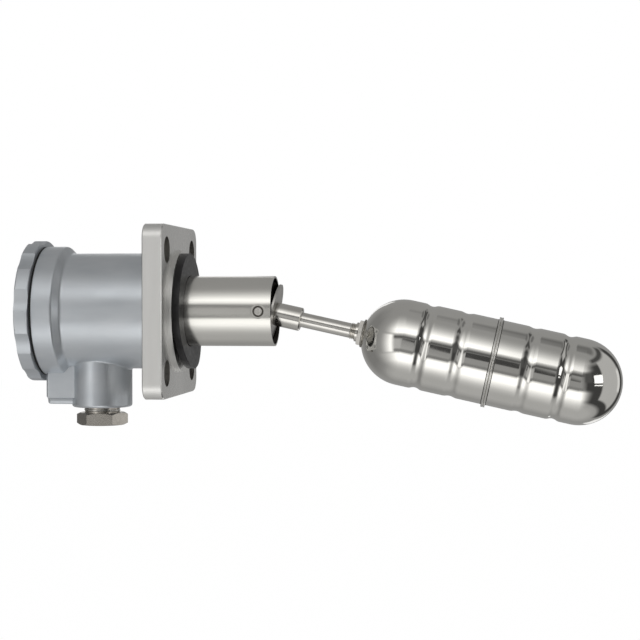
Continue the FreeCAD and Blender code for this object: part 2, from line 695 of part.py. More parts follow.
# ---- switch mechanism ----------------------------------------------------------------------
def make_bracket():
    """Channel folded from sheet: its web is screwed to the housing floor, and its two cheeks
    carry the rocker pin and the switch."""
    body = new_body("switch_bracket")
    base = "-flange_thick - floor_thick"
    width = "(bracket_gap / 2 + bracket_sheet)"
    web = new_sketch(body, "YZ_Plane", base)
    outline(web, box_corners(f"-{width}", width, "-bracket_span / 2", "bracket_span / 2"))
    pad(body, web, "bracket_sheet", back=True)
    cheeks = new_sketch(body, "XZ_Plane")
    outline(cheeks, [(base, "-cheek_low"), ("-cheek_step", "-cheek_low"),
                     ("-cheek_step", "switch_low + seat_lap"),
                     ("-cheek_end", "switch_low + seat_lap"),
                     ("-cheek_end", "cheek_high"), ("-cheek_step", "cheek_high"),
                     ("cheek_slope - cheek_step", "cheek_top"), (base, "cheek_top")])
    pad(body, cheeks, f"2 * {width}", both=True)
    ease(body, "Fillet", "cheek_round",
         lambda e: e.BoundBox.YLength > CLOSE and e.BoundBox.XLength < CLOSE
         and e.BoundBox.ZLength < CLOSE and e.BoundBox.XMax < -number("cheek_end") + CLOSE)
    channel = new_sketch(body, "XY_Plane")
    outline(channel, box_corners("-cheek_end - overcut", f"{base} - bracket_sheet",
                                 "-bracket_gap / 2", "bracket_gap / 2"))
    pocket(body, channel, "bracket_span + 2 * overcut", both=True)
    window = new_sketch(body, "YZ_Plane", base)
    outline(window, box_corners("-bracket_gap / 2", "bracket_gap / 2", "-window_height / 2",
                                "window_height / 2"))
    pocket(body, window, "bracket_sheet + overcut")
    holes = new_sketch(body, "YZ_Plane", base)
    circles(holes, [("0", f"{level}bracket_screw_z", "bracket_screw_radius + seat_play")
                    for level in "+-"])
    pocket(body, holes, "bracket_sheet + overcut")
    bores = new_sketch(body, "XZ_Plane")
    circles(bores, [("-rocker_at", "0", "rocker_pin_radius"),
                    ("-switch_screw_first", "switch_screw_height", "switch_screw_radius"),
                    ("-switch_screw_second", "switch_screw_height", "switch_screw_radius")])
    pocket(body, bores, f"2 * {width} + overcut", both=True)


def plain_pin(label, radius, half, x, z="0"):
    body = turned(label, box_corners("0", radius, f"-({half})", half), "XY_Plane", "V_Axis")
    return place(body, x, z=z)


def make_rocker():
    """Dry-side lever: magnet cup, turned neck, hub on the rocker pin, and a flat tail whose
    round nose works the leaf lever of the switch."""
    cup_back = "rocker_reach - cup_length"
    body = turned("rocker_lever", [
        ("-rocker_root", "0"), ("-rocker_root", "rocker_neck"),
        (f"{cup_back} - cup_cone", "rocker_neck"),
        (cup_back, "cup_radius"), ("rocker_reach", "cup_radius"), ("rocker_reach", "0")])
    hub = new_sketch(body, "XZ_Plane")
    circles(hub, [("0", "0", "rocker_hub")])
    pad(body, hub, "rocker_hub_length", both=True)
    tail = new_sketch(body, "XZ_Plane")
    outline(tail, box_corners("-rocker_tail", "0", "-rocker_tail_thick / 2",
                              "rocker_tail_thick / 2"))
    pad(body, tail, "rocker_tail_width", both=True)
    nose = new_sketch(body, "XZ_Plane")
    circles(nose, [("-rocker_tail", "0", "rocker_nose")])
    pad(body, nose, "rocker_tail_width", both=True)
    bore = new_sketch(body, "XZ_Plane")
    circles(bore, [("0", "0", "rocker_pin_radius + pin_play")])
    pocket(body, bore, "rocker_hub_length + overcut", both=True)
    recess = new_sketch(body, "YZ_Plane", "rocker_reach")
    circles(recess, [("0", "0", "magnet_radius + seat_play")])
    pocket(body, recess, "magnet_length + recess_play")
    on_rocker(body)


def make_switch():
    """Snap-action switch: a moulded case with two ears for its leaf lever, a button under the
    lever, and three blade terminals."""
    case = new_body("switch_case")
    block = new_sketch(case, "XZ_Plane")
    outline(block, box_corners("-switch_to", "-switch_from", "switch_low", "switch_high"))
    pad(case, block, "switch_width", both=True)
    ears = new_sketch(case, "XZ_Plane")
    outline(ears, box_corners("-leaf_hinge_at - ear_reach", "-leaf_hinge_at + ear_reach",
                              "leaf_hinge_height - ear_reach", "switch_low + seat_lap"))
    pad(case, ears, "switch_width", both=True)
    slot = new_sketch(case, "XZ_Plane")
    outline(slot, box_corners("-leaf_hinge_at - ear_reach - ear_gap",
                              "-leaf_hinge_at + ear_reach + ear_gap",
                              "leaf_hinge_height - ear_reach - ear_gap", "switch_low"))
    pocket(case, slot, "switch_width - 2 * ear_width", both=True)
    bores = new_sketch(case, "XZ_Plane")
    circles(bores, [("-leaf_hinge_at", "leaf_hinge_height", "leaf_pin_radius"),
                    ("-switch_screw_first", "switch_screw_height", "switch_screw_radius"),
                    ("-switch_screw_second", "switch_screw_height", "switch_screw_radius")])
    pocket(case, bores, "switch_width + overcut", both=True)
    guide = new_sketch(case, "XY_Plane", "switch_low")
    circles(guide, [("-button_at", "0", "button_radius + pin_play")])
    pocket(case, guide, "button_bore_depth", back=True)
    plain_pin("leaf_pin", "leaf_pin_radius", "switch_width / 2", "-leaf_hinge_at",
              "leaf_hinge_height")
    button = turned("switch_button", [
        ("0", "0"), ("button_radius / 2", "0"), ("button_radius", "button_radius / 2"),
        ("button_radius", "button_length"), ("0", "button_length")], axis="V_Axis")
    place(button, "-button_at", z="button_low")
    blades = []
    for order in range(3):
        blade = solid("Box", f"blade_{order}", Length="blade_length", Width="blade_width",
                      Height="blade_thick")
        blades.append(place(blade, "-switch_to - blade_length", "-blade_width / 2",
                            f"blade_low + {order} * blade_pitch"))
    group("switch_terminals", blades)


def make_leaf_lever():
    """Sheet leaf with a rolled eye on the leaf pin."""
    body = new_body("leaf_lever")
    leaf = new_sketch(body, "XZ_Plane")
    outline(leaf, box_corners("0", "leaf_length", "-leaf_thick / 2", "leaf_thick / 2"))
    pad(body, leaf, "leaf_width", both=True)
    eye = new_sketch(body, "XZ_Plane")
    circles(eye, [("0", "0", "leaf_eye")])
    pad(body, eye, "leaf_width", both=True)
    bore = new_sketch(body, "XZ_Plane")
    circles(bore, [("0", "0", "leaf_pin_radius + pin_play")])
    pocket(body, bore, "leaf_width + overcut", both=True)
    place(body, "-leaf_hinge_at", z="leaf_hinge_height")


def make_switch_screws():
    """Two screws through both cheeks and the switch, with nuts on the far cheek."""
    outer = "(bracket_gap / 2 + bracket_sheet)"
    screws = []
    nuts = []
    for at in ("switch_screw_first", "switch_screw_second"):
        screw = cap_screw(f"{at}_piece", "switch_screw_head", "small_head_height",
                          "switch_screw_radius", f"2 * {outer} + switch_screw_end",
                          "small_socket")
        screws.append(place(screw, f"-{at}", f"-{outer}", "switch_screw_height",
                            axis=(1, 0, 0), angle=90))
        block = solid("Prism", f"{at}_nut", Circumradius="switch_nut_radius",
                      Height="switch_nut_height")
        block.Polygon = 6
        eye = solid("Cylinder", f"{at}_eye", Radius="switch_screw_radius",
                    Height="switch_nut_height")
        nut = doc.addObject("Part::Cut", f"{at}_cut")
        nut.Base = block
        nut.Tool = eye
        nuts.append(place(nut, f"-{at}", outer, "switch_screw_height",
                          axis=(1, 0, 0), angle=-90))
    group("switch_screws", screws)
    group("switch_nuts", nuts)


# ---- build, test and write -----------------------------------------------------------------
def build():
    make_flange()
    make_gasket()
    make_guide_tube()
    make_pivot_pin()
    make_float_lever()
    make_magnet("float_magnet", "-lever_reach", on_arm)
    make_shield_disc()
    make_arm_sleeve()
    make_arm_rod()
    make_float_washer()
    make_float_nut()
    make_float_half("float_shell_near", "-1", "near_half", "float_hole")
    make_float_half("float_shell_far", "1", "far_half", "0")
    make_housing()
    make_base_seal()
    make_cover()
    make_cover_seal()
    make_gland()
    make_case_screws()
    make_bracket_screws()
    make_earth_screw()
    make_bracket()
    plain_pin("rocker_pin", "rocker_pin_radius",
              "bracket_gap / 2 + bracket_sheet + rocker_pin_end", "-rocker_at")
    make_rocker()
    make_magnet("rocker_magnet", "rocker_reach - magnet_length", on_rocker)
    make_switch()
    make_leaf_lever()
    make_switch_screws()
    doc.recompute()


def write():
    failed = [thing.Name for thing in doc.Objects
              if "Invalid" in thing.State or "Error" in thing.State]
    if failed:
        raise RuntimeError("failed objects: " + ", ".join(failed))
    for thing in NODES:
        if thing.Shape.isNull() or not thing.Shape.isValid() or not thing.Shape.Solids:
            raise RuntimeError(thing.Label + ": no valid solid")
    os.makedirs("parts", exist_ok=True)
    for thing in NODES:
        thing.Shape.exportStep(f"parts/{thing.Label}.step")
        print(f"{thing.Label}: {len(thing.Shape.Solids)} solid, {thing.Shape.Volume:.0f} mm3")


build()
write()
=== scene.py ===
import math

import bmesh
import bpy
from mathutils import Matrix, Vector


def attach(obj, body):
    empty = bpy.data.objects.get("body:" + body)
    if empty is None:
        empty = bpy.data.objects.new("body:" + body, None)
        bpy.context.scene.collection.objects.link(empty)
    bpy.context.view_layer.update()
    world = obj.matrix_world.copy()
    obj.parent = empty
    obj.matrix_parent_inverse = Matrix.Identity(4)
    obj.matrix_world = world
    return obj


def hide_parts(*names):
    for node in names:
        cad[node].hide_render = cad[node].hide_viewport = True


# The float level switch in its finishes: a coated cast housing, a turned stainless flange and
# guide tube, and a mirror-polished float on its arm. Metres, origin on the flange's front face
# at the centre of the bolts, +X out towards the float, +Z up.
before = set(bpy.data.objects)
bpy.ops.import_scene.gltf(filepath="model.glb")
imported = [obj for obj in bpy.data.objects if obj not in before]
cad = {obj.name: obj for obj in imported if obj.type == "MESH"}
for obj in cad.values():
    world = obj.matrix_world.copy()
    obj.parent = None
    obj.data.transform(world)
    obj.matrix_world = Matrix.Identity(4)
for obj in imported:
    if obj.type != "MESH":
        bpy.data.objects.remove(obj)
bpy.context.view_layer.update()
scene = bpy.context.scene

# ---- Camera ------------------------------------------------------------------------------
# A long lens stands level with the guide tube, off the near shoulder of the float, and looks
# slightly back towards the housing.
SENSOR_WIDTH = 36.0
LENS = 88.33
CAMERA_PLACE = (0.1781, -0.8422, 0.0081)
CAMERA_TILT = -0.87
CAMERA_TURN = 6.84

lens_data = bpy.data.cameras.new("camera")
lens_data.sensor_width = SENSOR_WIDTH
lens_data.lens = LENS
camera = bpy.data.objects.new("camera", lens_data)
camera.location = CAMERA_PLACE
camera.rotation_euler = (math.radians(90 + CAMERA_TILT), 0, math.radians(CAMERA_TURN))
scene.collection.objects.link(camera)
scene.camera = camera
scene.view_settings.view_transform = "Standard"

# ---- Studio ------------------------------------------------------------------------------
# A wide grey tent round the object, with one soft box high and one low in front, a bright strip
# at the left, a black frame at the right and two small windows at the back. A white card hangs
# near the float's far end, and the floor is a white sheet well below the object.
TENT_RADIUS = 3.0
TENT_MIDDLE = (0.08, 0.0, 0.0)
TENT_STEP = 5
TENT_JOIN = 0.001
TENT_OPENINGS = ((155, 170, -40, -20), (190, 200, 5, 30))
TENT_GREY = 0.33
TENT_TONE = (1.0, 0.995, 0.985)
WHITE = (1, 1, 1, 1)
ROOM_GREY = (0.36, 0.36, 0.355)
CARD_GLOW = 1.45
CARD_AWAY = 0.50
CARD_FACES = (0.215, 0.0, -0.037)
CARDS = (("white_card", 50.5, 7.5, 0.215, 0.165), ("card_edge", 50.5, -6.8, 0.200, 0.020))
FLOOR_DROP = 0.44
FLOOR_SIZE = 14.0
FLOOR_PALE = (0.85, 0.85, 0.85)
FLOOR_GLOW = 0.97
FLOOR_WHITE = 1.02

# Each light or dark field of the tent: its brightness, then where it starts, is full, is still
# full and ends, in degrees round from the front and in degrees up, and how fast it fades.
TENT_FIELDS = (
    ("under_light", 0.47, (-182, -181, 181, 182), (-182, -181, -72, -50), 1.0),
    ("left_wall", 0.23, (-150, -120, -90, -62), (-60, -35, 40, 70), 1.0),
    ("left_corner", 0.08, (-124, -116, -93, -87), (-12, -6, 17, 24), 1.0),
    ("ceiling", 0.17, (66, 86, 130, 150), (56, 64, 70, 80), 1.0),
    ("black_frame", 0.055, (9, 24, 141, 147), (-58, -50, 36, 46), 1.0),
    ("frame_top", 0.075, (40, 54, 130, 142), (43, 47, 52, 57), 1.0),
    ("frame_side", 0.09, (14, 20, 33, 38), (-4, 2, 26, 34), 1.0),
    ("grey_panel", 0.50, (62, 67, 124, 131), (-41, -37, 41, 45), 1.0),
    ("panel_end", 0.76, (116, 119, 128, 132), (-15, -12, 10, 14), 1.0),
    ("front_wall", 0.50, (-38, -26, -8, -2), (-16, -12, 9, 12), 1.0),
    ("side_strip", 1.30, (-64, -34, -30, -19), (-26, -20, 20, 26), 1.7),
    ("upper_box", 1.45, (-66, -19, 8, 52), (19, 28, 37, 84), 2.1),
    ("lower_box", 1.45, (-82, -17, 8, 46), (-88, -44, -27, -17), 2.0),
    ("upper_shade", 0.12, (-25, -21, 14, 22), (12.5, 14.5, 18, 20.5), 1.0),
    ("lower_shade", 0.24, (-25, -21, 12, 20), (-22.5, -20.5, -17, -13), 1.0),
    ("camera_stand", 0.06, (-0.8, -0.1, 5.5, 7.5), (-1.5, 0.5, 12, 13.5), 1.0),
)


def link_nodes(tree, source, output, target, entry):
    """Join one node's output to another node's input."""
    tree.links.new(source.outputs[output], target.inputs[entry])


def new_material(name):
    """An empty node material with its output node."""
    made = bpy.data.materials.new(name)
    made.use_nodes = True
    made.node_tree.nodes.clear()
    end = made.node_tree.nodes.new("ShaderNodeOutputMaterial")
    return made, made.node_tree, end


def sum_node(tree, operation, first, second=None, value=None):
    """One sum on one or two node outputs, or on an output and a plain number."""
    made = tree.nodes.new("ShaderNodeMath")
    made.operation = operation
    tree.links.new(first, made.inputs[0])
    if second is not None:
        tree.links.new(second, made.inputs[1])
    if value is not None:
        made.inputs[1].default_value = value
    return made.outputs[0]


def field_edge(tree, angle, start, full, power):
    """A field's share along one edge: none at start, all of it at full."""
    fit = tree.nodes.new("ShaderNodeMapRange")
    fit.inputs["From Min"].default_value = start
    fit.inputs["From Max"].default_value = full
    tree.links.new(angle, fit.inputs["Value"])
    return sum_node(tree, "POWER", fit.outputs["Result"], value=power)


tent_cloth, tent_tree, tent_end = new_material("tent_cloth")
tent_where = tent_tree.nodes.new("ShaderNodeTexCoord")
tent_split = tent_tree.nodes.new("ShaderNodeSeparateXYZ")
link_nodes(tent_tree, tent_where, "Object", tent_split, "Vector")
tent_front = sum_node(tent_tree, "MULTIPLY", tent_split.outputs["Y"], value=-1.0)
tent_round = sum_node(tent_tree, "ARCTAN2", tent_split.outputs["X"], tent_front)
tent_round = sum_node(tent_tree, "DEGREES", tent_round)
tent_up = sum_node(tent_tree, "DIVIDE", tent_split.outputs["Z"], value=TENT_RADIUS)
tent_up = sum_node(tent_tree, "ARCSINE", tent_up)
tent_up = sum_node(tent_tree, "DEGREES", tent_up)
tent_light = None
for field_name, level, across, upward, power in TENT_FIELDS:
    share = None
    for angle, (start, full, still, stop) in ((tent_round, across), (tent_up, upward)):
        for begin, end in ((start, full), (stop, still)):
            edge = field_edge(tent_tree, angle, begin, end, power)
            share = edge if share is None else sum_node(tent_tree, "MULTIPLY", share, edge)
    blend = tent_tree.nodes.new("ShaderNodeMix")
    blend.label = field_name
    blend.inputs["A"].default_value = TENT_GREY
    blend.inputs["B"].default_value = level
    tent_tree.links.new(share, blend.inputs["Factor"])
    if tent_light is not None:
        tent_tree.links.new(tent_light, blend.inputs["A"])
    tent_light = blend.outputs["Result"]
tent_lamp = tent_tree.nodes.new("ShaderNodeEmission")
tent_lamp.inputs["Color"].default_value = (*TENT_TONE, 1)
tent_tree.links.new(tent_light, tent_lamp.inputs["Strength"])
link_nodes(tent_tree, tent_lamp, "Emission", tent_end, "Surface")

tent_build = bmesh.new()
for turn in range(-180, 180, TENT_STEP):
    for lift in range(-90, 90, TENT_STEP):
        middle_turn = turn + TENT_STEP / 2 + (360 if turn < 0 else 0)
        middle_lift = lift + TENT_STEP / 2
        if any(west < middle_turn < east and low < middle_lift < high
               for west, east, low, high in TENT_OPENINGS):
            continue
        corners = []
        for round_at, up_at in ((turn, lift), (turn + TENT_STEP, lift),
                                (turn + TENT_STEP, lift + TENT_STEP), (turn, lift + TENT_STEP)):
            flat = math.cos(math.radians(up_at)) * TENT_RADIUS
            corners.append(tent_build.verts.new((math.sin(math.radians(round_at)) * flat,
                                                 -math.cos(math.radians(round_at)) * flat,
                                                 math.sin(math.radians(up_at)) * TENT_RADIUS)))
        tent_build.faces.new(corners)
bmesh.ops.remove_doubles(tent_build, verts=tent_build.verts, dist=TENT_JOIN)
tent_mesh = bpy.data.meshes.new("tent")
tent_build.to_mesh(tent_mesh)
tent_build.free()
tent_mesh.materials.append(tent_cloth)
tent = bpy.data.objects.new("tent", tent_mesh)
tent.location = TENT_MIDDLE
tent.visible_camera = False
scene.collection.objects.link(tent)

card_paper, card_tree, card_end = new_material("card_paper")
card_lamp = card_tree.nodes.new("ShaderNodeEmission")
card_lamp.inputs["Color"].default_value = WHITE
card_lamp.inputs["Strength"].default_value = CARD_GLOW
link_nodes(card_tree, card_lamp, "Emission", card_end, "Surface")
for card_name, card_round, card_up, card_width, card_height in CARDS:
    card_turn = math.radians(card_round)
    card_lift = math.radians(card_up)
    card_way = Vector((math.sin(card_turn) * math.cos(card_lift),
                       -math.cos(card_turn) * math.cos(card_lift), math.sin(card_lift)))
    card_mesh = bpy.data.meshes.new(card_name)
    card_corners = [(x * card_width / 2, y * card_height / 2, 0)
                    for x, y in ((-1, -1), (1, -1), (1, 1), (-1, 1))]
    card_mesh.from_pydata(card_corners, [], [(0, 1, 2, 3)])
    card_mesh.materials.append(card_paper)
    card = bpy.data.objects.new(card_name, card_mesh)
    card.location = Vector(CARD_FACES) + card_way * CARD_AWAY
    card.rotation_euler = card_way.to_track_quat("Z", "Y").to_euler()
    card.visible_camera = False
    scene.collection.objects.link(card)

room = bpy.data.worlds.new("white_room")
room.use_nodes = True
room_tree = room.node_tree
room_tree.nodes.clear()
room_end = room_tree.nodes.new("ShaderNodeOutputWorld")
room_grey = room_tree.nodes.new("ShaderNodeBackground")
room_grey.inputs["Color"].default_value = (*ROOM_GREY, 1)
room_white = room_tree.nodes.new("ShaderNodeBackground")
room_white.inputs["Color"].default_value = WHITE
room_rays = room_tree.nodes.new("ShaderNodeLightPath")
room_seen = sum_node(room_tree, "MAXIMUM", room_rays.outputs["Is Camera Ray"],
                     room_rays.outputs["Is Glossy Ray"])
room_seen = sum_node(room_tree, "MAXIMUM", room_seen, room_rays.outputs["Is Transmission Ray"])
room_mix = room_tree.nodes.new("ShaderNodeMixShader")
room_tree.links.new(room_seen, room_mix.inputs[0])
link_nodes(room_tree, room_grey, "Background", room_mix, 1)
link_nodes(room_tree, room_white, "Background", room_mix, 2)
link_nodes(room_tree, room_mix, "Shader", room_end, "Surface")
scene.world = room

floor_sheet, floor_tree, floor_end = new_material("floor_sheet")
floor_paint = floor_tree.nodes.new("ShaderNodeBsdfDiffuse")
floor_paint.inputs["Color"].default_value = (*FLOOR_PALE, 1)
floor_glow = floor_tree.nodes.new("ShaderNodeEmission")
floor_glow.inputs["Color"].default_value = WHITE
floor_glow.inputs["Strength"].default_value = FLOOR_WHITE
floor_rays = floor_tree.nodes.new("ShaderNodeLightPath")
floor_seen = sum_node(floor_tree, "MAXIMUM", floor_rays.outputs["Is Camera Ray"],
                      floor_rays.outputs["Is Glossy Ray"])
floor_seen = sum_node(floor_tree, "MAXIMUM", floor_seen,
                      floor_rays.outputs["Is Transmission Ray"])
floor_share = sum_node(floor_tree, "MULTIPLY", floor_seen, value=FLOOR_GLOW)
floor_mix = floor_tree.nodes.new("ShaderNodeMixShader")
floor_tree.links.new(floor_share, floor_mix.inputs[0])
link_nodes(floor_tree, floor_paint, "BSDF", floor_mix, 1)
link_nodes(floor_tree, floor_glow, "Emission", floor_mix, 2)
link_nodes(floor_tree, floor_mix, "Shader", floor_end, "Surface")
floor_mesh = bpy.data.meshes.new("floor")
floor_half = FLOOR_SIZE / 2
floor_corners = [(x * floor_half, y * floor_half, -FLOOR_DROP)
                 for x, y in ((-1, -1), (1, -1), (1, 1), (-1, 1))]
floor_mesh.from_pydata(floor_corners, [], [(0, 1, 2, 3)])
floor_mesh.materials.append(floor_sheet)
floor = bpy.data.objects.new("floor", floor_mesh)
floor.visible_glossy = False
floor.visible_diffuse = False
floor.visible_shadow = False
scene.collection.objects.link(floor)

# ---- Flange ------------------------------------------------------------------------------
# Square stainless plate, sawn and milled at its sides, then faced on a lathe in fine rings
# about the tube's axis. Its four bolt holes are drilled right through, and their insides are
# darkened as painted shade.
FLANGE_STEEL = ((0.80, 0.795, 0.775), (0.86, 0.855, 0.835))
FLANGE_ROUGH = (0.23, 0.29)
FLANGE_EDGE_ROUGH = 0.11
FLANGE_LAP = 0.60
FLANGE_FRONT_FROM = 0.7
BOLT_PLACE = (0.0, 0.0325, 0.0325)
BOLT_BORE = 0.0071
# Painted shade: the darker colour given to the inside of the bolt holes.
BOLT_BORE_PAINTED_SHADE = (0.46, 0.45, 0.43)
GRAIN_LOW = 0.3
GRAIN_HIGH = 0.7


def grain(tree, scale, detail, stretch=(1, 1, 1)):
    """A noise texture fixed to the piece, in metres, stretched along its axes."""
    where = tree.nodes.new("ShaderNodeTexCoord")
    fit = tree.nodes.new("ShaderNodeMapping")
    fit.inputs["Scale"].default_value = stretch
    made = tree.nodes.new("ShaderNodeTexNoise")
    made.inputs["Scale"].default_value = scale
    made.inputs["Detail"].default_value = detail
    link_nodes(tree, where, "Object", fit, "Vector")
    link_nodes(tree, fit, "Vector", made, "Vector")
    return made


def spread(tree, source, low, high):
    """A grain turned into a value between low and high."""
    fit = tree.nodes.new("ShaderNodeMapRange")
    fit.inputs["From Min"].default_value = GRAIN_LOW
    fit.inputs["From Max"].default_value = GRAIN_HIGH
    fit.inputs["To Min"].default_value = low
    fit.inputs["To Max"].default_value = high
    link_nodes(tree, source, 0, fit, "Value")
    return fit


def tint(tree, source, low, high):
    """A grain turned into a colour between two colours."""
    ramp = tree.nodes.new("ShaderNodeValToRGB")
    ramp.color_ramp.elements[0].position = GRAIN_LOW
    ramp.color_ramp.elements[0].color = (*low, 1)
    ramp.color_ramp.elements[1].position = GRAIN_HIGH
    ramp.color_ramp.elements[1].color = (*high, 1)
    link_nodes(tree, source, 0, ramp, "Fac")
    return ramp


def finish(name, metallic, colours, colour_grain, rough, rough_grain, relief_grain, height,
           lap=0.0):
    """A finish from three grains: one for colour, one for roughness and one for relief.
    A grain is (scale, detail, stretch), height is in metres, and lap is how far the polish
    runs one way."""
    made, tree, end = new_material(name)
    skin = tree.nodes.new("ShaderNodeBsdfPrincipled")
    skin.inputs["Metallic"].default_value = metallic
    skin.inputs["Anisotropic"].default_value = lap
    shade = tint(tree, grain(tree, *colour_grain), *colours)
    link_nodes(tree, shade, "Color", skin, "Base Color")
    polish = spread(tree, grain(tree, *rough_grain), *rough)
    link_nodes(tree, polish, "Result", skin, "Roughness")
    relief = tree.nodes.new("ShaderNodeBump")
    relief.inputs["Distance"].default_value = height
    link_nodes(tree, grain(tree, *relief_grain), 0, relief, "Height")
    link_nodes(tree, relief, "Normal", skin, "Normal")
    link_nodes(tree, skin, "BSDF", end, "Surface")
    return made


def paint_bore_shade(material, middle, radius, colour):
    """Darken a finish inside bores along X with painted shade in its base colour. Bores at the
    same place either side of the axis are darkened together."""
    tree = material.node_tree
    skin = tree.nodes["Principled BSDF"]
    where = tree.nodes.new("ShaderNodeTexCoord")
    fold = tree.nodes.new("ShaderNodeVectorMath")
    fold.operation = "ABSOLUTE"
    link_nodes(tree, where, "Object", fold, 0)
    offset = tree.nodes.new("ShaderNodeVectorMath")
    offset.operation = "SUBTRACT"
    offset.inputs[1].default_value = middle
    link_nodes(tree, fold, "Vector", offset, 0)
    flat = tree.nodes.new("ShaderNodeVectorMath")
    flat.operation = "MULTIPLY"
    flat.inputs[1].default_value = (0, 1, 1)
    link_nodes(tree, offset, "Vector", flat, 0)
    reach = tree.nodes.new("ShaderNodeVectorMath")
    reach.operation = "LENGTH"
    link_nodes(tree, flat, "Vector", reach, 0)
    inside = sum_node(tree, "LESS_THAN", reach.outputs["Value"], value=radius)
    mix = tree.nodes.new("ShaderNodeMix")
    mix.data_type = "RGBA"
    shade = skin.inputs["Base Color"].links[0].from_socket
    tree.links.new(inside, mix.inputs[0])
    tree.links.new(shade, mix.inputs[6])
    mix.inputs[7].default_value = (*colour, 1)
    tree.links.new(mix.outputs[2], skin.inputs["Base Color"])


def dress(material, *names):
    """Give carried-over pieces their finish."""
    for name in names:
        piece = cad[name].data
        piece.materials.clear()
        piece.materials.append(material)


turned_steel = finish("turned_steel", 1.0, FLANGE_STEEL, (60.0, 3.0, (1, 1, 0.2)),
                      FLANGE_ROUGH, (900.0, 3.0, (1, 1, 0.05)),
                      (1500.0, 3.0, (1, 1, 0.03)), 0.0000006, FLANGE_LAP)
turned_tree = turned_steel.node_tree
turned_skin = turned_tree.nodes["Principled BSDF"]
turned_round = turned_tree.nodes.new("ShaderNodeTangent")
turned_round.direction_type = "RADIAL"
turned_round.axis = "X"
turned_face = turned_tree.nodes.new("ShaderNodeNewGeometry")
turned_across = turned_tree.nodes.new("ShaderNodeVectorMath")
turned_across.operation = "CROSS_PRODUCT"
link_nodes(turned_tree, turned_face, "Normal", turned_across, 0)
link_nodes(turned_tree, turned_round, "Tangent", turned_across, 1)
turned_split = turned_tree.nodes.new("ShaderNodeSeparateXYZ")
link_nodes(turned_tree, turned_face, "Normal", turned_split, "Vector")
turned_front = sum_node(turned_tree, "GREATER_THAN", turned_split.outputs["X"],
                        value=FLANGE_FRONT_FROM)
turned_edge = sum_node(turned_tree, "SUBTRACT", turned_front, value=1.0)
turned_edge = sum_node(turned_tree, "MULTIPLY", turned_edge, value=-FLANGE_EDGE_ROUGH)
turned_polish = turned_skin.inputs["Roughness"].links[0].from_socket
turned_polish = sum_node(turned_tree, "ADD", turned_polish, turned_edge)
turned_tree.links.new(turned_polish, turned_skin.inputs["Roughness"])
turned_way = turned_tree.nodes.new("ShaderNodeMix")
turned_way.data_type = "VECTOR"
turned_tree.links.new(turned_front, turned_way.inputs[0])
turned_tree.links.new(turned_round.outputs[0], turned_way.inputs[4])
turned_tree.links.new(turned_across.outputs[0], turned_way.inputs[5])
turned_tree.links.new(turned_way.outputs[1], turned_skin.inputs["Tangent"])
# Painted shade inside the four bolt holes.
paint_bore_shade(turned_steel, BOLT_PLACE, BOLT_BORE, BOLT_BORE_PAINTED_SHADE)
dress(turned_steel, "flange")

# ---- Guide tube and pivot pin ------------------------------------------------------------
# Drawn stainless tube welded to the flange, satin polished outside, its inside darkened to near
# black as painted shade.
# The float arm's pin crosses it and is held at both ends by a small ring of weld, coloured dark
# as painted shade.
TUBE_STEEL = ((0.72, 0.71, 0.67), (0.78, 0.77, 0.73))
TUBE_INSIDE = 0.0183
# Painted shade: the near-black colour given to the tube's inside.
TUBE_BORE_PAINTED_SHADE = (0.055, 0.052, 0.048)
PIN_AT = 0.0461
PIN_FACE = 0.01856
PIN_WELD_INNER = 0.0020
PIN_WELD_OUTER = 0.0031
PIN_WELD_HEIGHT = 0.00012
PIN_WELD_SUNK = 0.00005
PIN_WELD_SLOPE = 0.0003
PIN_WELD_STEPS = 48
PIN_STEEL = ((0.72, 0.70, 0.66), (0.88, 0.86, 0.82))


def turned_mesh(name, profile, material, along, start, steps):
    """A piece turned about a line: profile holds (distance along it, radius) points, and the
    profile is closed."""
    axis = Vector(along).normalized()
    side = axis.orthogonal().normalized()
    up = axis.cross(side)
    build = bmesh.new()
    rings = []
    for at, radius in profile:
        ring = []
        for step in range(steps):
            angle = 2 * math.pi * step / steps
            out = side * math.cos(angle) + up * math.sin(angle)
            ring.append(build.verts.new(Vector(start) + axis * at + out * radius))
        rings.append(ring)
    for low, high in zip(rings, rings[1:] + rings[:1]):
        for step in range(steps):
            after = (step + 1) % steps
            build.faces.new((low[step], low[after], high[after], high[step]))
    bmesh.ops.recalc_face_normals(build, faces=build.faces)
    mesh = bpy.data.meshes.new(name)
    build.to_mesh(mesh)
    build.free()
    mesh.shade_smooth()
    mesh.materials.append(material)
    made = bpy.data.objects.new(name, mesh)
    scene.collection.objects.link(made)
    return made


satin_steel = finish("satin_steel", 1.0, TUBE_STEEL, (80.0, 3.0, (0.1, 1, 1)),
                     (0.17, 0.24), (1200.0, 3.0, (0.02, 1, 1)),
                     (2500.0, 2.0, (0.02, 1, 1)), 0.000001)
# Painted shade inside the tube's bore.
paint_bore_shade(satin_steel, (0, 0, 0), TUBE_INSIDE, TUBE_BORE_PAINTED_SHADE)
dress(satin_steel, "guide_tube")
pin_steel = finish("pin_steel", 1.0, PIN_STEEL, (900.0, 3.0), (0.20, 0.34),
                   (1500.0, 3.0), (1400.0, 3.0), 0.00006)
dress(pin_steel, "pivot_pin")
# Painted shade: the rings round the pin's ends are coloured near black for the shade in the
# groove there.
pin_weld_painted_shade = finish("pin_weld_painted_shade", 0.6, ((0.05, 0.046, 0.04), (0.14, 0.13, 0.115)),
                    (1500.0, 3.0), (0.35, 0.5), (1500.0, 3.0), (1800.0, 3.0), 0.00006)
for weld_name, weld_side in (("pin_weld_front", -1), ("pin_weld_back", 1)):
    weld_profile = [(-PIN_WELD_SUNK, PIN_WELD_INNER),
                    (PIN_WELD_HEIGHT, PIN_WELD_INNER + PIN_WELD_SLOPE),
                    (PIN_WELD_HEIGHT, PIN_WELD_OUTER - PIN_WELD_SLOPE),
                    (-PIN_WELD_SUNK, PIN_WELD_OUTER)]
    pin_weld = turned_mesh(weld_name, weld_profile, pin_weld_painted_shade, (0, weld_side, 0),
                           (PIN_AT, weld_side * PIN_FACE, 0), PIN_WELD_STEPS)
    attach(pin_weld, "root")
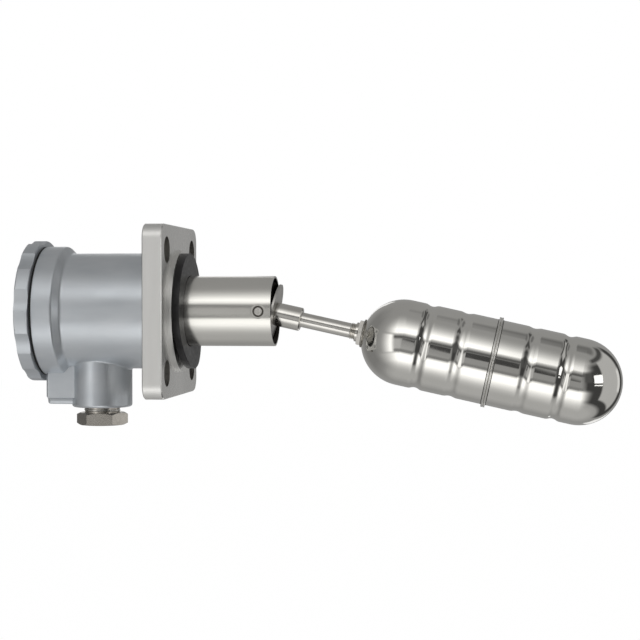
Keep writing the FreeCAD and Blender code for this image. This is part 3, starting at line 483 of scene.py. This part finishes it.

# ---- Gasket ------------------------------------------------------------------------------
# Ring cut from black rubber sheet, pushed over the tube onto the raised face. Its lower half
# has curled a little off the face.
GASKET_FACE = 0.0023
GASKET_THICK = 0.0037
GASKET_BORE = 0.0193
GASKET_EDGE = 0.0314
GASKET_CURL = 0.0026
GASKET_CURL_POWER = 0.7
GASKET_CUT = 0.0003
GASKET_RINGS = 7
GASKET_STEPS = 128
GASKET_SHARP = 35
gasket_sheet = finish("gasket_sheet", 0.0, ((0.010, 0.010, 0.011), (0.022, 0.022, 0.024)),
                      (300.0, 3.0), (0.30, 0.42), (500.0, 3.0), (2500.0, 3.0), 0.00001)
gasket_rim = GASKET_EDGE - GASKET_CUT
gasket_width = gasket_rim - GASKET_BORE
gasket_profile = [(0.0, GASKET_BORE), (0.0, GASKET_EDGE - GASKET_CUT / 3),
                  (GASKET_CUT * 2 / 3, GASKET_EDGE), (GASKET_THICK - GASKET_CUT, GASKET_EDGE),
                  (GASKET_THICK, gasket_rim)]
for gasket_step in range(1, GASKET_RINGS + 1):
    gasket_profile.append((GASKET_THICK, gasket_rim - gasket_width * gasket_step / GASKET_RINGS))
gasket = turned_mesh("gasket_ring", gasket_profile, gasket_sheet, (1, 0, 0),
                     (GASKET_FACE, 0, 0), GASKET_STEPS)
for point in gasket.data.vertices:
    gasket_reach = math.hypot(point.co.y, point.co.z)
    gasket_low = max(0.0, -point.co.z / gasket_reach)
    gasket_out = (gasket_reach - GASKET_BORE) / (GASKET_EDGE - GASKET_BORE)
    gasket_lift = gasket_low * gasket_low * max(0.0, gasket_out) ** GASKET_CURL_POWER
    point.co.x += GASKET_CURL * gasket_lift
gasket.data.set_sharp_from_angle(angle=math.radians(GASKET_SHARP))
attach(gasket, "root")
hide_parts("flange_gasket")
dress(gasket_sheet, "flange_gasket")

# ---- Housing and cover -------------------------------------------------------------------
# One-piece aluminium casting, blasted and coated in satin silver grey; the screwed cover is
# cast and coated the same way. The coat has fine metal flake and a slight orange peel.
COAT_COLOUR = (0.59, 0.625, 0.66)
COAT_PALE = (0.66, 0.69, 0.72)
PEEL_HEIGHT = 0.000004
grey_coat = finish("grey_coat", 0.68, (COAT_COLOUR, COAT_PALE), (120.0, 4.0, (0.35, 1, 1)),
                   (0.29, 0.38), (110.0, 3.0, (0.4, 1, 1)), (300.0, 2.0), PEEL_HEIGHT)
dress(grey_coat, "housing", "cover")

# ---- Seals -------------------------------------------------------------------------------
# Moulded black rubber rings, slightly chalky: one in the flange's back, one behind the
# cover's rim and one under the gland's pressure screw.
seal_rubber = finish("seal_rubber", 0.0, ((0.008, 0.008, 0.009), (0.018, 0.018, 0.019)),
                     (200.0, 3.0), (0.5, 0.65), (500.0, 3.0), (1500.0, 3.0), 0.00001)
dress(seal_rubber, "base_seal", "cover_seal", "gland_seal")

# ---- Cable gland -------------------------------------------------------------------------
# Hexagonal pressure screw and two washers, machined from brass and nickel plated. Just over
# one turn of the screw's cut thread shows between its hexagon and the housing's boss.
GLAND_AT = -0.0434
GLAND_TOP = -0.0524
GLAND_HEX_TOP = -0.0556
THREAD_ROOT = 0.0094
THREAD_CREST = 0.00985
THREAD_PITCH = 0.0015
THREAD_ROOT_HALF = 0.5
THREAD_CREST_HALF = 0.12
THREAD_STEPS = 72
THREAD_SHARP = 20
plated_brass = finish("plated_brass", 1.0, ((0.52, 0.49, 0.445), (0.62, 0.59, 0.54)),
                      (150.0, 4.0), (0.20, 0.30), (700.0, 3.0), (1800.0, 3.0), 0.000003)
dress(plated_brass, "gland_screw", "gland_washers")
cut_thread = finish("cut_thread", 1.0, ((0.70, 0.68, 0.64), (0.80, 0.78, 0.74)),
                    (150.0, 4.0), (0.10, 0.18), (700.0, 3.0), (1800.0, 3.0), 0.000003)
thread_build = bmesh.new()
thread_rows = []
thread_turns = (GLAND_TOP - GLAND_HEX_TOP) / THREAD_PITCH - 1
for thread_step in range(int(thread_turns * THREAD_STEPS) + 1):
    thread_angle = 2 * math.pi * thread_step / THREAD_STEPS
    thread_drop = GLAND_TOP - THREAD_PITCH * (THREAD_ROOT_HALF + thread_step / THREAD_STEPS)
    thread_row = []
    for thread_side, thread_radius in ((THREAD_ROOT_HALF, THREAD_ROOT),
                                       (THREAD_CREST_HALF, THREAD_CREST),
                                       (-THREAD_CREST_HALF, THREAD_CREST),
                                       (-THREAD_ROOT_HALF, THREAD_ROOT)):
        thread_row.append(thread_build.verts.new((
            GLAND_AT + math.cos(thread_angle) * thread_radius,
            math.sin(thread_angle) * thread_radius,
            thread_drop + thread_side * THREAD_PITCH)))
    thread_rows.append(thread_row)
for thread_first, thread_next in zip(thread_rows, thread_rows[1:]):
    for thread_edge in range(len(thread_first) - 1):
        thread_build.faces.new((thread_first[thread_edge], thread_next[thread_edge],
                                thread_next[thread_edge + 1], thread_first[thread_edge + 1]))
thread_build.faces.new(thread_rows[0])
thread_build.faces.new(list(reversed(thread_rows[-1])))
bmesh.ops.recalc_face_normals(thread_build, faces=thread_build.faces)
thread_mesh = bpy.data.meshes.new("gland_thread")
thread_build.to_mesh(thread_mesh)
thread_build.free()
thread_mesh.shade_smooth()
thread_mesh.set_sharp_from_angle(angle=math.radians(THREAD_SHARP))
thread_mesh.materials.append(cut_thread)
gland_thread = bpy.data.objects.new("gland_thread", thread_mesh)
scene.collection.objects.link(gland_thread)
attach(gland_thread, "root")

# ---- Switch mechanism --------------------------------------------------------------------
# Inside the housing: zinc-plated bracket and screws, a brass rocker with its ground magnet, and
# a moulded snap-action switch with brass terminals and a red button. Its leaf lever and the
# rocker's pin are of the arm's steel, and the float lever's magnet is of the rocker's alloy.
ARM_STEEL = ((0.66, 0.645, 0.61), (0.73, 0.715, 0.68))
zinc_steel = finish("zinc_steel", 1.0, ((0.55, 0.56, 0.58), (0.66, 0.67, 0.69)),
                    (250.0, 4.0), (0.25, 0.4), (600.0, 3.0), (1500.0, 3.0), 0.000004)
dress(zinc_steel, "case_screws", "bracket_screws", "switch_bracket", "leaf_pin",
      "switch_screws", "switch_nuts")
contact_brass = finish("contact_brass", 1.0, ((0.70, 0.55, 0.28), (0.78, 0.64, 0.36)),
                       (200.0, 4.0), (0.2, 0.35), (600.0, 3.0), (1500.0, 3.0), 0.000004)
dress(contact_brass, "earth_screw", "rocker_lever", "switch_terminals")
magnet_alloy = finish("magnet_alloy", 0.9, ((0.16, 0.16, 0.17), (0.24, 0.24, 0.25)),
                      (300.0, 4.0), (0.4, 0.55), (700.0, 3.0), (1800.0, 3.0), 0.00001)
dress(magnet_alloy, "float_magnet", "rocker_magnet")
switch_moulding = finish("switch_moulding", 0.0, ((0.035, 0.035, 0.04), (0.06, 0.06, 0.065)),
                         (250.0, 3.0), (0.4, 0.5), (900.0, 3.0), (2500.0, 3.0), 0.00001)
dress(switch_moulding, "switch_case")
arm_steel = finish("arm_steel", 1.0, ARM_STEEL, (120.0, 3.0),
                   (0.13, 0.20), (900.0, 3.0), (3000.0, 2.0), 0.000001)
dress(arm_steel, "rocker_pin", "leaf_lever")
button_moulding = finish("button_moulding", 0.0, ((0.45, 0.05, 0.04), (0.55, 0.08, 0.06)),
                         (250.0, 3.0), (0.25, 0.35), (900.0, 3.0), (2500.0, 3.0), 0.000005)
dress(button_moulding, "switch_button")

# ---- Float arm ---------------------------------------------------------------------------
# Turned stainless pieces on one line from the pivot: lever, shield disc, sleeve, rod, washer
# and weld nut. The rod's thread shows for three turns before the washer, and the nut sits in a
# ring of weld on the float.
ARM_TILT = math.radians(12.4)
ROD_THREAD_FROM = 0.0486
ROD_THREAD_PITCH = 0.001
ROD_THREAD_CRESTS = 3
ROD_THREAD_INSIDE = 0.0038
ROD_THREAD_ROOT = 0.00395
ROD_THREAD_CREST = 0.0044
ROD_THREAD_RUN_OUT = 0.00005
ROD_THREAD_FLANKS = (0.4, 0.6)
ROD_THREAD_STEPS = 64
ROD_THREAD_SHARP = 25
NUT_WELD_AT = 0.0558
NUT_WELD_RADIUS = 0.0071
NUT_WELD_THICK = 0.0006
NUT_WELD_FACETS = 12
NUT_WELD_STEPS = 96
arm_line = Vector((math.cos(ARM_TILT), 0, -math.sin(ARM_TILT)))
pivot = Vector((PIN_AT, 0, 0))
dress(arm_steel, "arm_sleeve", "arm_rod")
bright_steel = finish("bright_steel", 1.0, ((0.60, 0.58, 0.54), (0.76, 0.74, 0.70)),
                      (600.0, 3.0), (0.06, 0.12), (900.0, 3.0), (900.0, 2.0), 0.00002)
dress(bright_steel, "float_washer", "float_nut")
weld_bead = finish("weld_bead", 1.0, ((0.20, 0.19, 0.17), (0.52, 0.50, 0.46)),
                   (900.0, 3.0), (0.22, 0.36), (900.0, 3.0), (1200.0, 3.0), 0.0002)
disc_steel = finish("disc_steel", 1.0, ((0.50, 0.49, 0.465), (0.60, 0.585, 0.56)),
                    (120.0, 3.0), (0.30, 0.38), (900.0, 3.0), (3000.0, 2.0), 0.000001)
dress(disc_steel, "shield_disc", "float_lever")

rod_thread_profile = [(ROD_THREAD_FROM, ROD_THREAD_ROOT)]
for crest in range(ROD_THREAD_CRESTS):
    crest_from = ROD_THREAD_FROM + crest * ROD_THREAD_PITCH
    for flank in ROD_THREAD_FLANKS:
        rod_thread_profile.append((crest_from + ROD_THREAD_PITCH * flank, ROD_THREAD_CREST))
    rod_thread_profile.append((crest_from + ROD_THREAD_PITCH,
                               ROD_THREAD_ROOT + ROD_THREAD_RUN_OUT))
rod_thread_profile.append((crest_from + ROD_THREAD_PITCH, ROD_THREAD_INSIDE))
rod_thread_profile.append((ROD_THREAD_FROM, ROD_THREAD_INSIDE))
rod_thread = turned_mesh("rod_thread", rod_thread_profile, bright_steel, arm_line, pivot,
                         ROD_THREAD_STEPS)
rod_thread.data.set_sharp_from_angle(angle=math.radians(ROD_THREAD_SHARP))
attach(rod_thread, "float_arm")
nut_weld_profile = []
for weld_step in range(NUT_WELD_FACETS):
    weld_angle = 2 * math.pi * weld_step / NUT_WELD_FACETS
    nut_weld_profile.append((NUT_WELD_AT + math.cos(weld_angle) * NUT_WELD_THICK,
                             NUT_WELD_RADIUS + math.sin(weld_angle) * NUT_WELD_THICK))
nut_weld = turned_mesh("nut_weld", nut_weld_profile, weld_bead, arm_line, pivot,
                       NUT_WELD_STEPS)
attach(nut_weld, "float_arm")

# ---- Float -------------------------------------------------------------------------------
# Two half shells deep-drawn from stainless sheet, stiffened by rolled grooves, welded round
# their turned-out lips and polished to a mirror. The weld rounds the lips into a double bead,
# and a dark ring along each of its feet is painted shade.
SEAM_AT = 0.1264
LIP_RADIUS = 0.0244
SEAM_HALF = 0.00105
SEAM_ROOT = 0.0229
SEAM_STEPS = 160
BEAD_STEPS = 8
BEAD_SUNK = 0.7
LIP_FOOT_WIDTH = 0.00055
LIP_FOOT_TOP = 0.02341
LIP_FOOT_RADIUS = 0.02326
LIP_FOOT_EDGE = 0.02314
FLOAT_STEEL = ((0.745, 0.735, 0.70), (0.80, 0.79, 0.755))
mirror_steel = finish("mirror_steel", 1.0, FLOAT_STEEL, (40.0, 3.0),
                      (0.05, 0.09), (300.0, 4.0), (90.0, 2.0), 0.000002)
dress(mirror_steel, "float_shell_near", "float_shell_far")
seam_profile = [(-SEAM_HALF, SEAM_ROOT)]
for crest_at in (-SEAM_HALF / 2, SEAM_HALF / 2):
    for bead_step in range(BEAD_STEPS + 1):
        bead_angle = math.pi * (1 - bead_step / BEAD_STEPS)
        seam_profile.append((crest_at + math.cos(bead_angle) * SEAM_HALF / 2,
                             LIP_RADIUS + (math.sin(bead_angle) - BEAD_SUNK) * SEAM_HALF / 2))
seam_profile.append((SEAM_HALF, SEAM_ROOT))
seam_bead = turned_mesh("seam_bead", seam_profile, mirror_steel, arm_line,
                        pivot + arm_line * SEAM_AT, SEAM_STEPS)
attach(seam_bead, "float_arm")
# Painted shade: the dark rings along the bead's feet stand for the shade there.
lip_foot_painted_shade = finish("lip_foot_painted_shade", 1.0, ((0.13, 0.125, 0.115), (0.20, 0.195, 0.18)),
                    (200.0, 3.0), (0.35, 0.45), (400.0, 3.0), (400.0, 2.0), 0.000002)
for foot_name, foot_side in (("lip_foot_near", -1), ("lip_foot_far", 1)):
    foot_from = foot_side * SEAM_HALF
    foot_to = foot_side * (SEAM_HALF + LIP_FOOT_WIDTH)
    foot_profile = [(foot_from, SEAM_ROOT), (foot_from, LIP_FOOT_TOP),
                    ((foot_from + foot_to) / 2, LIP_FOOT_RADIUS), (foot_to, LIP_FOOT_EDGE),
                    (foot_to, SEAM_ROOT)]
    lip_foot = turned_mesh(foot_name, foot_profile, lip_foot_painted_shade, arm_line,
                           pivot + arm_line * SEAM_AT, SEAM_STEPS)
    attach(lip_foot, "float_arm")
